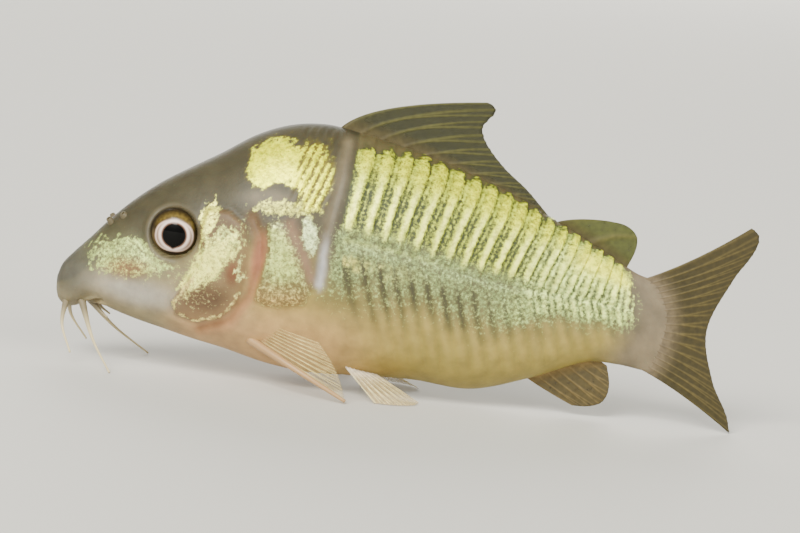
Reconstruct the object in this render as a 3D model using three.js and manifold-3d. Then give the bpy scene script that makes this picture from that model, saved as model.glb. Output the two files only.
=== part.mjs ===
// A deep-bodied corydoras catfish, life size, resting on its fins and barbels on a level floor.
// Millimetres, +Z up. The head points along -X and the tail along +X; the fish's left side faces -Y.
// The origin is on the floor, under the middle of the fish's box.

import * as THREE from "three";
import { mergeVertices } from "three/addons/utils/BufferGeometryUtils.js";
import Module from "manifold-3d";

const wasm = await Module();
wasm.setup();

// Driving dimensions

const GAP = 0.3; // between touching pieces
const FLOOR_Z = 0;
const SCUTE_COUNT = 20; // overlapping bony plates in each row along the flank
const SCUTE_LIFT = 0.34; // how far a plate's free rear edge stands over the next plate
const SCUTE_CREST = 0.9; // where along a plate its free edge lies
const TAIL_START = 12; // the plate at which the torso ends and the tail begins
const LATERAL_LINE = 0.585; // height of the seam between the two rows, as a share of the depth
const SEAM_SHARE = 0.45; // that seam's place on the way round from the back to the belly
const BELLY_SHARE = 0.8; // the plates fade out from here to the naked belly
const EYE = { x: -25.6, z: 15.4, y: 4.55, radius: 2.6, depth: 1.65 };
const GILL_COVER_LIFT = 0.22;
const GILL_COVER_INNER_Y = 5.3;
const MEMBRANE = 0.5; // full thickness of the skin between two fin rays
const RAY = 0.8; // full thickness of a fin ray at its root

// The body's outline, station by station. From -12 to 0 they run down the head, and from 0 to 20
// they count the plates of the flank. Top and bottom are [x, z]; half is half the width, widest is the
// height of the widest point as a share of the depth, and bow moves the side forward (-) or back (+),
// most at the seam between the rows, which makes their plates meet in chevrons.
const STATIONS = [
  { at: -12, top: [-37.6, 8.6], bottom: [-37.5, 7.0], half: 0.7, widest: 0.5, bow: 0 },
  { at: -11, top: [-37.1, 10.1], bottom: [-37.1, 6.1], half: 1.9, widest: 0.46, bow: 0.1 },
  { at: -10, top: [-36.0, 11.5], bottom: [-36.1, 5.5], half: 2.7, widest: 0.42, bow: 0.2 },
  { at: -9, top: [-34.3, 13.4], bottom: [-35.0, 6.1], half: 3.4, widest: 0.4, bow: 0.2 },
  { at: -8, top: [-32.4, 15.6], bottom: [-33.2, 6.4], half: 4.0, widest: 0.38, bow: 0.2 },
  { at: -7, top: [-30.0, 18.0], bottom: [-31.0, 5.7], half: 4.9, widest: 0.37, bow: 0.1 },
  { at: -6, top: [-27.3, 20.2], bottom: [-28.4, 5.0], half: 5.8, widest: 0.37, bow: 0 },
  { at: -5, top: [-24.4, 22.1], bottom: [-25.6, 4.4], half: 6.6, widest: 0.37, bow: -0.2 },
  { at: -4, top: [-21.2, 24.1], bottom: [-22.4, 3.7], half: 7.3, widest: 0.37, bow: -0.4 },
  { at: -3, top: [-17.8, 26.4], bottom: [-18.6, 3.0], half: 7.9, widest: 0.38, bow: -0.7 },
  { at: -2, top: [-14.2, 27.9], bottom: [-14.2, 2.0], half: 8.3, widest: 0.39, bow: -0.9 },
  { at: -1, top: [-10.4, 28.4], bottom: [-9.6, 1.5], half: 8.5, widest: 0.4, bow: -1.1 },
  { at: 0, top: [-6.6, 27.9], bottom: [-5.0, 1.7], half: 8.4, widest: 0.42, bow: -1.2 },
  { at: 4, top: [1.7, 26.1], bottom: [1.8, 2.0], half: 7.5, widest: 0.44, bow: -1.5 },
  { at: 8, top: [9.2, 23.7], bottom: [8.3, 1.7], half: 6.0, widest: 0.46, bow: -1.6 },
  { at: 12, top: [15.7, 20.8], bottom: [14.5, 3.6], half: 4.3, widest: 0.48, bow: -1.3 },
  { at: 16, top: [21.2, 18.1], bottom: [20.5, 6.1], half: 2.8, widest: 0.5, bow: -0.6 },
  { at: 18, top: [23.5, 16.9], bottom: [23.7, 6.2], half: 2.0, widest: 0.5, bow: 0.1 },
  { at: 20, top: [25.6, 16.1], bottom: [26.3, 5.9], half: 0.8, widest: 0.5, bow: 0.9 },
];
const SNOUT = STATIONS[0].at;

// Interpolation

// A smooth curve through knots [at, value], with tangents from the neighbours on each side.
function smooth(knots) {
  const tangent = knots.map((k, i) => {
    const before = knots[Math.max(i - 1, 0)];
    const after = knots[Math.min(i + 1, knots.length - 1)];
    return (after[1] - before[1]) / (after[0] - before[0]);
  });
  return (at) => {
    let i = knots.findIndex((k) => k[0] >= at);
    i = i < 0 ? knots.length - 1 : Math.max(i, 1);
    const [a0, v0] = knots[i - 1];
    const [a1, v1] = knots[i];
    const span = a1 - a0;
    const t = Math.min(Math.max((at - a0) / span, 0), 1);
    const t2 = t * t;
    const t3 = t2 * t;
    return (
      (2 * t3 - 3 * t2 + 1) * v0 +
      (t3 - 2 * t2 + t) * span * tangent[i - 1] +
      (3 * t2 - 2 * t3) * v1 +
      (t3 - t2) * span * tangent[i]
    );
  };
}

const mix = THREE.MathUtils.lerp;
const ease = THREE.MathUtils.smoothstep;
const bump = (distance, width) => Math.exp(-((distance / width) ** 2));

const through = (pick) => smooth(STATIONS.map((s) => [s.at, pick(s)]));
const section = {
  topX: through((s) => s.top[0]),
  topZ: through((s) => s.top[1]),
  bottomX: through((s) => s.bottom[0]),
  bottomZ: through((s) => s.bottom[1]),
  half: through((s) => s.half),
  widest: through((s) => s.widest),
  bow: through((s) => s.bow),
};

// The body's surface

// A point on the smooth body: s runs down the body, round goes from the back (0) to the belly (1).
function smoothBody(s, round) {
  const upper = mix(2.2, 1.85, ease(s, SNOUT, 0));
  const lower = mix(2.1, 2.4, ease(s, SNOUT, -4));
  const widest = section.widest(s);
  const seam = Math.acos(Math.pow((LATERAL_LINE - widest) / (1 - widest), upper / 2));
  const angle =
    round < SEAM_SHARE
      ? (round / SEAM_SHARE) * seam
      : mix(seam, Math.PI, (round - SEAM_SHARE) / (1 - SEAM_SHARE));
  const power = angle < Math.PI / 2 ? upper : lower;
  const rise = Math.sign(Math.cos(angle)) * Math.pow(Math.abs(Math.cos(angle)), 2 / power);
  const out = Math.pow(Math.max(Math.sin(angle), 0), 2 / power);
  const height = rise > 0 ? widest + rise * (1 - widest) : widest * (1 + rise);
  const reach = height > LATERAL_LINE ? 1 - LATERAL_LINE : LATERAL_LINE;
  const wave = 0.5 + 0.5 * Math.cos((Math.PI * (height - LATERAL_LINE)) / reach);
  return new THREE.Vector3(
    mix(section.bottomX(s), section.topX(s), height) + section.bow(s) * wave,
    -section.half(s) * out,
    mix(section.bottomZ(s), section.topZ(s), height),
  );
}

// The outward direction of the smooth body, from two short steps along its surface.
function outward(s, round) {
  const step = 0.01;
  const along = smoothBody(s + step, round).sub(smoothBody(s - step, round));
  const about = smoothBody(s, Math.min(round + step, 1)).sub(smoothBody(s, Math.max(round - step, 0)));
  if (round <= 0 || round >= 1) about.set(0, round <= 0 ? -1 : 1, 0);
  return about.cross(along).normalize();
}

// The bony plates: each rises to its free rear edge and steps down to the next one.
function plateRelief(s, round) {
  if (s < 0) return 0;
  const along = s - Math.floor(s + 1e-6);
  const saw = along < SCUTE_CREST ? along / SCUTE_CREST : (1 - along) / (1 - SCUTE_CREST);
  const seam = 1 - bump(round - SEAM_SHARE, 0.012);
  const naked = 1 - ease(round, BELLY_SHARE, BELLY_SHARE + 0.08);
  const ridge = mix(0.35, 1, ease(round, 0, 0.08));
  const tailEnd = 1 - 0.6 * ease(s, 17, SCUTE_COUNT);
  return SCUTE_LIFT * saw * seam * naked * ridge * tailEnd - 0.12 * (1 - seam);
}

// The head's own forms: the rim of the orbit, the cheek, the brow, and the shoulder plate.
function headRelief(point, s) {
  if (s > 0) return 0;
  const fromEye = Math.hypot(point.x - EYE.x, point.z - EYE.z);
  const rim = 0.3 * bump(fromEye - EYE.radius - 0.45, 0.4);
  const cheek = 0.25 * bump(Math.hypot(point.x + 28.5, (point.z - 10.5) * 1.3), 2.6);
  const shoulder = Math.hypot((point.x + 12.6) / 2.7, (point.z - 12.3) / 5.6);
  const plate = 0.3 * (1 - ease(shoulder, 0.8, 1.05));
  return rim + cheek + plate;
}

function bodyPoint(s, round, side, lift) {
  const point = smoothBody(s, round);
  const raise = lift + plateRelief(s, round) + headRelief(point, s);
  point.addScaledVector(outward(s, round), raise);
  if (round <= 0 || round >= 1) point.y = 0;
  point.y *= side;
  return point;
}

// Meshes and solids

// A closed shell from rings of equal count, with a fan over each end.
function shell(rings) {
  const count = rings[0].length;
  const positions = rings.flat().flatMap((p) => [p.x, p.y, p.z]);
  const faces = [];
  for (let i = 0; i + 1 < rings.length; i++) {
    for (let j = 0; j < count; j++) {
      const a = i * count + j;
      const b = i * count + ((j + 1) % count);
      faces.push(a, b, b + count, a, b + count, a + count);
    }
  }
  [0, rings.length - 1].forEach((ring, end) => {
    const centre = new THREE.Vector3();
    rings[ring].forEach((p) => centre.addScaledVector(p, 1 / count));
    const hub = positions.length / 3;
    positions.push(centre.x, centre.y, centre.z);
    for (let j = 0; j < count; j++) {
      const a = ring * count + j;
      const b = ring * count + ((j + 1) % count);
      faces.push(...(end ? [a, b, hub] : [b, a, hub]));
    }
  });
  const geometry = new THREE.BufferGeometry();
  geometry.setAttribute("position", new THREE.Float32BufferAttribute(positions, 3));
  geometry.setIndex(faces);
  return geometry;
}

function toSolid(geometry) {
  const bare = geometry.clone();
  bare.deleteAttribute("normal");
  bare.deleteAttribute("uv");
  const merged = mergeVertices(bare, 1e-4);
  const made = new wasm.Manifold(
    new wasm.Mesh({
      numProp: 3,
      vertProperties: new Float32Array(merged.attributes.position.array),
      triVerts: new Uint32Array(merged.index.array),
    }),
  );
  if (made.volume() > 0) return made;
  const turned = merged.index.array.slice();
  for (let i = 0; i < turned.length; i += 3) [turned[i], turned[i + 1]] = [turned[i + 1], turned[i]];
  merged.setIndex(new THREE.BufferAttribute(turned, 1));
  return toSolid(merged);
}

// The largest closed surface of a solid, which drops any scrap that a cut leaves loose.
function largest(solid) {
  return solid.decompose().reduce((a, b) => (a.volume() > b.volume() ? a : b));
}

function toMesh(name, solid, material) {
  const { numProp, vertProperties, triVerts } = largest(solid).getMesh();
  const positions = new Float32Array((vertProperties.length / numProp) * 3);
  for (let i = 0; i < positions.length / 3; i++) {
    positions.set(vertProperties.subarray(i * numProp, i * numProp + 3), i * 3);
  }
  const geometry = new THREE.BufferGeometry();
  geometry.setAttribute("position", new THREE.BufferAttribute(positions, 3));
  geometry.setIndex(new THREE.BufferAttribute(new Uint32Array(triVerts), 1));
  geometry.computeVertexNormals();
  const mesh = new THREE.Mesh(geometry, material);
  mesh.name = name;
  return mesh;
}

const box = (width, depth, height, x, y, z) =>
  toSolid(new THREE.BoxGeometry(width, depth, height).translate(x, y, z));
const UNDER_FLOOR = box(200, 100, 20, 0, 0, FLOOR_Z - 10);
const NEAR_HALF = box(200, 50, 100, 0, -25, 30);
const FAR_HALF = box(200, 50, 100, 0, 25, 30);

// A length of the body from ring to ring, with points all round; back and front move the end rings.
function bodyLength(stops, around, lift, front, back) {
  const rings = stops.map((s, i) => {
    const ring = [];
    for (let k = 0; k < 2 * around; k++) {
      const side = k <= around ? 1 : -1;
      const round = (k <= around ? k : 2 * around - k) / around;
      const point = bodyPoint(s, round, side, lift);
      if (i === 0) point.x += front;
      if (i === stops.length - 1) point.x -= back;
      ring.push(point);
    }
    return ring;
  });
  return toSolid(shell(rings));
}

// Ring places along a run of plates: each plate's front, middle and free edge.
function plateStops(first, last) {
  const stops = [];
  for (let plate = first; plate < last; plate++) {
    stops.push(plate, plate + 0.5, plate + SCUTE_CREST);
  }
  return [...stops, last];
}

const HEAD_STOPS = Array.from({ length: 31 }, (_, i) => SNOUT * Math.pow(1 - i / 30, 1.15));
const headShape = bodyLength(HEAD_STOPS, 22, 0, 0, GAP / 2);
const headRaised = bodyLength(HEAD_STOPS, 22, GILL_COVER_LIFT, 0, GAP / 2);
const clearance = bodyLength(
  [...HEAD_STOPS.slice(0, -1), ...plateStops(0, SCUTE_COUNT)], 20, GAP, 0, -GAP,
);
const meetBody = (solid) => largest(solid.subtract(clearance));

// Tapered tubes: barbels, lips, nostrils and fin spines

function taperedTube(path, startRadius, endRadius, steps, sides) {
  const curve = new THREE.CatmullRomCurve3(path);
  const rings = [];
  const reference = new THREE.Vector3(0, 0, 1);
  for (let i = 0; i <= steps; i++) {
    const centre = curve.getPointAt(i / steps);
    const tangent = curve.getTangentAt(i / steps);
    const across = new THREE.Vector3().crossVectors(tangent, reference);
    if (across.length() < 0.2) across.crossVectors(tangent, new THREE.Vector3(1, 0, 0));
    across.normalize();
    const over = new THREE.Vector3().crossVectors(across, tangent).normalize();
    const radius = mix(startRadius, endRadius, i / steps);
    rings.push(
      Array.from({ length: sides }, (_, k) => {
        const turn = (2 * Math.PI * k) / sides;
        return centre
          .clone()
          .addScaledVector(across, radius * Math.cos(turn))
          .addScaledVector(over, radius * Math.sin(turn));
      }),
    );
  }
  return toSolid(shell(rings));
}

const at = (x, y, z) => new THREE.Vector3(x, y, z);
const mirrored = (path, side) => path.map((p) => at(p.x, p.y * side, p.z));

// Fins

// A fin is a sheet of skin over a fan of rays. Each ray is a bent line from its root to its tip; the
// sheet is thick on each ray and thin between, and both faces have the same triangles.
function rayFin(rays, steps, tipThickness) {
  const columns = 2 * rays.length - 1;
  const middle = [];
  for (let c = 0; c < columns; c++) {
    const low = rays[Math.floor(c / 2)];
    const high = rays[Math.ceil(c / 2)];
    const row = [];
    for (let i = 0; i <= steps; i++) {
      row.push(low(i / steps).add(high(i / steps)).multiplyScalar(0.5));
    }
    middle.push(row);
  }
  const faces = [1, -1].map((face) =>
    middle.map((row, c) =>
      row.map((point, i) => {
        const acrossRays = middle[Math.min(c + 1, columns - 1)][i]
          .clone()
          .sub(middle[Math.max(c - 1, 0)][i]);
        const alongRay = row[Math.min(i + 1, steps)].clone().sub(row[Math.max(i - 1, 0)]);
        const normal = acrossRays.cross(alongRay).normalize();
        const root = c % 2 ? MEMBRANE : RAY;
        const thick = mix(root, tipThickness, ease(i / steps, 0.2, 1));
        return point.clone().addScaledVector(normal, (face * thick) / 2);
      }),
    ),
  );
  const positions = faces.flat(2).flatMap((p) => [p.x, p.y, p.z]);
  const row = steps + 1;
  const index = (face, c, i) => (face * columns + c) * row + i;
  const triangles = [];
  const quad = (a, b, c, d) => triangles.push(a, b, c, a, c, d);
  for (let c = 0; c + 1 < columns; c++) {
    for (let i = 0; i < steps; i++) {
      quad(index(0, c, i), index(0, c + 1, i), index(0, c + 1, i + 1), index(0, c, i + 1));
      triangles.push(index(1, c, i), index(1, c + 1, i + 1), index(1, c + 1, i));
      triangles.push(index(1, c, i), index(1, c, i + 1), index(1, c + 1, i + 1));
    }
    quad(index(0, c + 1, 0), index(0, c, 0), index(1, c, 0), index(1, c + 1, 0));
    quad(index(0, c, steps), index(0, c + 1, steps), index(1, c + 1, steps), index(1, c, steps));
  }
  for (let i = 0; i < steps; i++) {
    quad(index(0, 0, i), index(0, 0, i + 1), index(1, 0, i + 1), index(1, 0, i));
    const last = columns - 1;
    quad(index(0, last, i + 1), index(0, last, i), index(1, last, i), index(1, last, i + 1));
  }
  const geometry = new THREE.BufferGeometry();
  geometry.setAttribute("position", new THREE.Float32BufferAttribute(positions, 3));
  geometry.setIndex(triangles);
  return toSolid(geometry);
}

// A ray that leaves its root towards a knee and bends over to its tip.
function bentRay(root, knee, tip) {
  const curve = new THREE.QuadraticBezierCurve3(root, knee, tip);
  return (t) => curve.getPoint(t);
}

// Points spaced evenly by share along a smooth line through a few given ones.
function spread(points, count) {
  const curve = new THREE.CatmullRomCurve3(points);
  return Array.from({ length: count }, (_, i) => curve.getPointAt(i / (count - 1)));
}

const ROOT_SINK = 0.9; // how deep a fin's root starts inside the body before it is cut back to the skin

function medianFin(roots, tips, kneeAlong, kneeUp, steps) {
  const rays = roots.map((root, i) => {
    const reach = tips[i].clone().sub(root);
    const knee = at(root.x + reach.x * kneeAlong, 0, root.z + reach.z * kneeUp);
    return bentRay(root, knee, tips[i]);
  });
  return rayFin(rays, steps, 0.34);
}

const DORSAL_RAYS = 11;
function dorsalFin() {
  const roots = spread(
    [at(-9.4, 0, 28.4 - ROOT_SINK), at(0, 0, 26.6 - ROOT_SINK), at(7.5, 0, 24.4 - ROOT_SINK),
      at(13.0, 0, 22.1 - ROOT_SINK)],
    DORSAL_RAYS,
  );
  const tips = spread(
    [at(6.6, 0, 32.8), at(7.4, 0, 32.5), at(7.6, 0, 31.8), at(7.0, 0, 31.0), at(6.4, 0, 30.0),
      at(7.0, 0, 28.4), at(9.2, 0, 26.0), at(11.8, 0, 24.2), at(13.4, 0, 22.7), at(14.8, 0, 21.6)],
    DORSAL_RAYS,
  );
  return meetBody(medianFin(roots, tips, 0.12, 0.72, 8));
}

const ADIPOSE_RAYS = 4;
function adiposeFin() {
  const roots = spread([at(14.9, 0, 20.6), at(19.5, 0, 18.4), at(23.3, 0, 16.4)], ADIPOSE_RAYS);
  const tips = spread(
    [at(21.2, 0, 21.6), at(22.8, 0, 21.4), at(23.9, 0, 20.8), at(24.4, 0, 19.9), at(24.3, 0, 18.6),
      at(23.8, 0, 17.2)],
    ADIPOSE_RAYS,
  );
  return meetBody(medianFin(roots, tips, 0.35, 1.1, 6));
}

const ANAL_RAYS = 7;
function analFin() {
  const roots = spread([at(13.6, 0, 3.9), at(17.5, 0, 5.7), at(21.2, 0, 6.9)], ANAL_RAYS);
  const tips = spread(
    [at(19.6, 0, 1.1), at(21.3, 0, 1.2), at(22.6, 0, 1.7), at(23.2, 0, 2.6), at(23.3, 0, 4.0),
      at(22.8, 0, 5.9)],
    ANAL_RAYS,
  );
  return meetBody(medianFin(roots, tips, 0.5, 0.58, 5));
}

const LOBE_RAYS = 7;
const FORK_Z = 11.0;
// One lobe of the tail fin, above or below the fork.
function caudalLobe(upper) {
  const roots = upper
    ? spread([at(24.6, 0, 15.4), at(26.2, 0, 13.6), at(26.9, 0, FORK_Z + 0.4)], LOBE_RAYS)
    : spread([at(25.5, 0, 6.3), at(26.5, 0, 8.3), at(26.9, 0, FORK_Z - 0.4)], LOBE_RAYS);
  const tips = upper
    ? spread(
      [at(36.5, 0, 22.7), at(37.3, 0, 22.2), at(37.5, 0, 21.2), at(36.9, 0, 19.6), at(35.3, 0, 16.9),
        at(33.1, 0, FORK_Z + 0.2)],
      LOBE_RAYS,
    )
    : spread([at(37.0, 0, -0.1), at(36.4, 0, 2.0), at(34.4, 0, 5.6), at(33.1, 0, FORK_Z - 0.2)], LOBE_RAYS);
  const lobe = medianFin(roots, tips, 0.45, 0.3, 7);
  const side = upper ? -1 : 1;
  const otherLobe = box(40, 10, 20, 36, 0, FORK_Z + side * (10 - GAP / 2));
  return meetBody(lobe.subtract(otherLobe).subtract(UNDER_FLOOR));
}

// A paired fin: a fan of rays from a short root to a curved edge, for the side given by -1 or 1.
function pairedFin(rootLine, tipLine, count, bend, side, steps) {
  const roots = spread(mirrored(rootLine, side), count);
  const tips = spread(mirrored(tipLine, side), count);
  const rays = roots.map((root, i) => {
    const knee = root.clone().lerp(tips[i], 0.5).add(at(0, bend * side, 0));
    return bentRay(root, knee, tips[i]);
  });
  return rayFin(rays, steps, 0.34);
}

const PECTORAL = {
  root: [at(-15.9, 6.0, 5.0), at(-14.9, 6.2, 6.2), at(-14.2, 6.4, 7.0)],
  tips: [at(-4.8, 10.6, 0.12), at(-5.6, 10.9, 2.4), at(-6.8, 10.6, 4.4), at(-8.4, 10.0, 6.2)],
};
function pectoralFin(side) {
  const fan = pairedFin(PECTORAL.root, PECTORAL.tips, 7, 0.9, side, 6);
  const spinePath = [PECTORAL.root[0], at(-10.6, 9.3, 2.9), PECTORAL.tips[0]];
  const spine = taperedTube(mirrored(spinePath, side), 0.75, 0.3, 7, 6);
  return meetBody(fan.add(spine).subtract(UNDER_FLOOR));
}

const PELVIC = {
  root: [at(-5.4, 5.0, 3.2), at(-4.0, 4.2, 2.9), at(-2.6, 3.4, 2.8)],
  tips: [at(-1.8, 8.2, 0.1), at(0.4, 8.0, 0.1), at(2.4, 6.6, 0.1), at(3.0, 4.6, 0.15)],
};
function pelvicFin(side) {
  const fan = pairedFin(PELVIC.root, PELVIC.tips, 6, 0.2, side, 5);
  return meetBody(fan.subtract(UNDER_FLOOR));
}

// Head pieces

const eyeball = (radius, depth, side) =>
  toSolid(
    new THREE.SphereGeometry(1, 20, 12)
      .scale(radius, depth, radius)
      .rotateZ(side * 0.22)
      .translate(EYE.x, side * EYE.y, EYE.z),
  );

// The gill cover's outline from the side, a round plate that is narrow below the eye.
const GILL_COVER_OUTLINE = [
  [-22.0, 18.6], [-18.6, 18.2], [-17.0, 16.2], [-16.8, 12.6], [-17.4, 9.0], [-19.2, 6.9],
  [-21.8, 6.1], [-24.2, 6.7], [-24.7, 8.2], [-23.2, 10.6], [-22.0, 13.2], [-22.4, 16.2],
];
function gillCoverPrism(grow, innerY, side) {
  const centre = new THREE.Vector2(-20.4, 12.2);
  const points = GILL_COVER_OUTLINE.map(([x, z]) => {
    const from = new THREE.Vector2(x, z).sub(centre);
    return from.setLength(from.length() + grow).add(centre);
  });
  const shape = new THREE.Shape(new THREE.SplineCurve([...points, points[0]]).getPoints(30));
  const depth = 12 - innerY;
  const geometry = new THREE.ExtrudeGeometry(shape, { depth, bevelEnabled: false, steps: 1 });
  geometry.rotateX(Math.PI / 2);
  geometry.translate(0, side < 0 ? -innerY : innerY + depth, 0);
  return toSolid(geometry);
}

function gillCover(side) {
  const half = side < 0 ? NEAR_HALF : FAR_HALF;
  return largest(headRaised.intersect(gillCoverPrism(0, GILL_COVER_INNER_Y, side)).intersect(half));
}

// The mouth lies under the snout: a fleshy upper lip, the slit behind it, and the lower lip.
const LIP = { x: -35.5, z: 5.6, half: 2.5, sweep: 1.9 };
function lip(offset, radius) {
  const path = [-1, -0.6, 0, 0.6, 1].map((share) =>
    at(LIP.x + offset + LIP.sweep * share * share, LIP.half * share, LIP.z - 0.15 * share * share),
  );
  return taperedTube(path, radius, radius, 10, 7);
}

const NOSTRILS = [
  { x: -32.2, y: 1.75, z: 15.2, radius: 0.5, rise: 0.9 }, // the front one, a short open tube
  { x: -30.9, y: 2.35, z: 16.2, radius: 0.6, rise: 0.45 }, // the rear one, a low rim
];
function nostril({ x, y, z, radius, rise }, side, bore) {
  const lean = at(-0.55, 0.45 * side, 0.75).normalize();
  const foot = at(x, y * side, z).addScaledVector(lean, -0.5);
  const mouth = at(x, y * side, z).addScaledVector(lean, rise + (bore ? 0.4 : 0));
  const width = bore ? radius * 0.5 : radius;
  return taperedTube([foot, mouth], width, width * (bore ? 1 : 0.85), 2, 8);
}

function head() {
  let solid = headShape;
  solid = solid.add(lip(0, 0.75)).add(lip(1.75, 0.6));
  for (const side of [-1, 1]) {
    NOSTRILS.forEach((n) => (solid = solid.add(nostril(n, side, false))));
    NOSTRILS.forEach((n) => (solid = solid.subtract(nostril(n, side, true))));
    solid = solid.subtract(eyeball(EYE.radius + GAP, EYE.depth + GAP, side));
    solid = solid.subtract(gillCoverPrism(GAP, GILL_COVER_INNER_Y - GAP, side));
  }
  return solid;
}

// Barbels hang from the corners of the mouth. Each is [root, bend, tip] for its own side.
const BARBELS = {
  barbel_lower_left: [at(-34.6, -1.6, 6.6), at(-32.6, -5.6, 3.0), at(-30.2, -9.0, 0.16)],
  barbel_lower_right: [at(-34.4, 1.8, 6.6), at(-31.4, 5.4, 3.1), at(-27.4, 7.6, 0.16)],
  barbel_upper_left: [at(-36.2, -1.2, 6.6), at(-36.2, -3.8, 4.0), at(-34.9, -5.2, 1.2)],
  barbel_upper_right: [at(-36.2, 1.2, 6.6), at(-36.0, 3.9, 4.0), at(-34.2, 5.4, 1.3)],
  barbel_chin_left: [at(-33.4, -0.9, 6.2), at(-32.6, -1.2, 5.2), at(-31.4, -1.5, 4.4)],
  barbel_chin_right: [at(-33.4, 0.9, 6.2), at(-32.6, 1.2, 5.2), at(-31.4, 1.5, 4.4)],
};
const BARBEL_ROOT = 0.5;
const BARBEL_TIP = 0.27;
const headClearance = largest(lip(0, 0.75 + GAP).add(lip(1.75, 0.6 + GAP)).add(clearance));
function barbel(path) {
  const tube = taperedTube(path, BARBEL_ROOT, BARBEL_TIP, 9, 6);
  return largest(tube.subtract(headClearance)).subtract(UNDER_FLOOR);
}

// Materials

const finish = (color, roughness, metalness) =>
  new THREE.MeshStandardMaterial({ color, roughness, metalness });
const HEAD_SKIN = finish(0x9c927c, 0.42, 0.15);
const FLANK_SKIN = finish(0xb9bf7c, 0.35, 0.35);
const TAIL_SKIN = finish(0xb4b98a, 0.35, 0.35);
const GILL_SKIN = finish(0xb39c80, 0.38, 0.3);
const FIN_SKIN = finish(0x84795f, 0.5, 0);
const BARBEL_SKIN = finish(0xb3a58c, 0.5, 0);
const EYE_WET = finish(0x2a2622, 0.08, 0);

// The catfish

const catfish = new THREE.Group();
const add = (name, solid, material) => catfish.add(toMesh(name, solid, material));

add("head", head(), HEAD_SKIN);
add("torso", bodyLength(plateStops(0, TAIL_START), 20, 0, GAP / 2, GAP / 2), FLANK_SKIN);
add("tail", bodyLength(plateStops(TAIL_START, SCUTE_COUNT), 16, 0, GAP / 2, 0), TAIL_SKIN);
add("dorsal_fin", dorsalFin(), FIN_SKIN);
add("adipose_fin", adiposeFin(), FIN_SKIN);
add("anal_fin", analFin(), FIN_SKIN);
add("caudal_fin_upper_lobe", caudalLobe(true), FIN_SKIN);
add("caudal_fin_lower_lobe", caudalLobe(false), FIN_SKIN);
for (const [word, side] of [["left", -1], ["right", 1]]) {
  add(`eye_${word}`, eyeball(EYE.radius, EYE.depth, side), EYE_WET);
  add(`gill_cover_${word}`, gillCover(side), GILL_SKIN);
  add(`pectoral_fin_${word}`, pectoralFin(side), FIN_SKIN);
  add(`pelvic_fin_${word}`, pelvicFin(side), FIN_SKIN);
}
for (const [name, path] of Object.entries(BARBELS)) add(name, barbel(path), BARBEL_SKIN);

export default catfish;
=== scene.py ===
# A deep-bodied corydoras catfish, life size: one skin over the head and flanks, wet eyes,
# translucent rayed fins and fine barbels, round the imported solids. Sizes are millimetres until
# each mesh is set, and the head points along -X.

import math

import bpy
import numpy as np
from mathutils import Matrix, Vector, noise


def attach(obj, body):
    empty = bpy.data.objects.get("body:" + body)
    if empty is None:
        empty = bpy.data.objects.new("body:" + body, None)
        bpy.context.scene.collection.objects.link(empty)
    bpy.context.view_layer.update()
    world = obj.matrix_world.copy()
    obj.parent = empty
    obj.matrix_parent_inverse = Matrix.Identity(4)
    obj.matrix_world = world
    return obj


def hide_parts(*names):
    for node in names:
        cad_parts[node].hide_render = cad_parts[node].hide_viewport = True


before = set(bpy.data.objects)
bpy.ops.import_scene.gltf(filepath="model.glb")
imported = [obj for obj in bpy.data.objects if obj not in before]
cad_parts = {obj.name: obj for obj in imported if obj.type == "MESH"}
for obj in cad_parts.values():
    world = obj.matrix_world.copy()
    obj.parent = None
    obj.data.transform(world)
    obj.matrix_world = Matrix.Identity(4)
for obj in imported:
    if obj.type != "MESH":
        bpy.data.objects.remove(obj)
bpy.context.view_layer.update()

# Body skin
# One bony skin from snout to tail: a smooth head with a gill cover and shoulder plate, then two
# rows of overlapping plates that meet along the side in shallow chevrons, over a naked belly.

MM = 0.001
PLATES = 20
# The rows of plates meet at the lateral line: its height as a share of the body's, and the share
# of each ring's points that lie above it.
LATERAL_LINE, SEAM_SHARE, SEAM_DEPTH = 0.585, 0.45, 0.08
# At, top x and z, bottom x and z, half width, height of the widest point, forward bow of the side.
STATIONS = np.array([
    [-12, -37.6, 8.6, -37.5, 7.0, 0.7, 0.5, 0],
    [-11, -37.1, 10.1, -37.1, 6.1, 1.9, 0.46, 0.1],
    [-10, -36.0, 11.5, -36.1, 5.5, 2.7, 0.42, 0.2],
    [-9, -34.3, 13.4, -35.0, 6.1, 3.4, 0.4, 0.2],
    [-8, -32.4, 15.6, -33.2, 6.4, 4.0, 0.38, 0.2],
    [-7, -30.0, 18.0, -31.0, 5.7, 4.9, 0.37, 0.1],
    [-6, -27.3, 20.2, -28.4, 5.0, 5.8, 0.37, 0],
    [-5, -24.4, 22.1, -25.6, 4.4, 6.6, 0.37, -0.2],
    [-4, -21.2, 24.1, -22.4, 3.7, 7.3, 0.37, -0.4],
    [-3, -17.8, 26.4, -18.6, 3.0, 7.9, 0.38, -0.7],
    [-2, -14.2, 27.9, -14.2, 2.0, 8.3, 0.39, -0.9],
    [-1, -10.4, 28.4, -9.6, 1.5, 8.5, 0.4, -1.1],
    [0, -6.6, 27.9, -5.0, 1.7, 8.4, 0.42, -1.2],
    [4, 1.7, 26.1, 1.8, 2.0, 7.5, 0.44, -1.5],
    [8, 9.2, 23.7, 8.3, 1.7, 6.0, 0.46, -1.6],
    [12, 15.7, 20.8, 14.5, 3.6, 4.3, 0.48, -1.3],
    [16, 21.2, 18.1, 20.5, 6.1, 2.8, 0.5, -0.6],
    [18, 23.5, 16.9, 23.7, 6.2, 1.85, 0.5, 0.1],
    [20, 25.8, 16.0, 26.4, 5.9, 0.56, 0.5, 0.7],
    [21, 28.0, 16.0, 28.4, 5.6, 0.02, 0.5, 0.9],
])
SNOUT = STATIONS[0, 0]
HEAD_RINGS, RINGS_PER_PLATE, TAIL_ROOT_RINGS, AROUND = 200, 14, 14, 192
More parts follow.
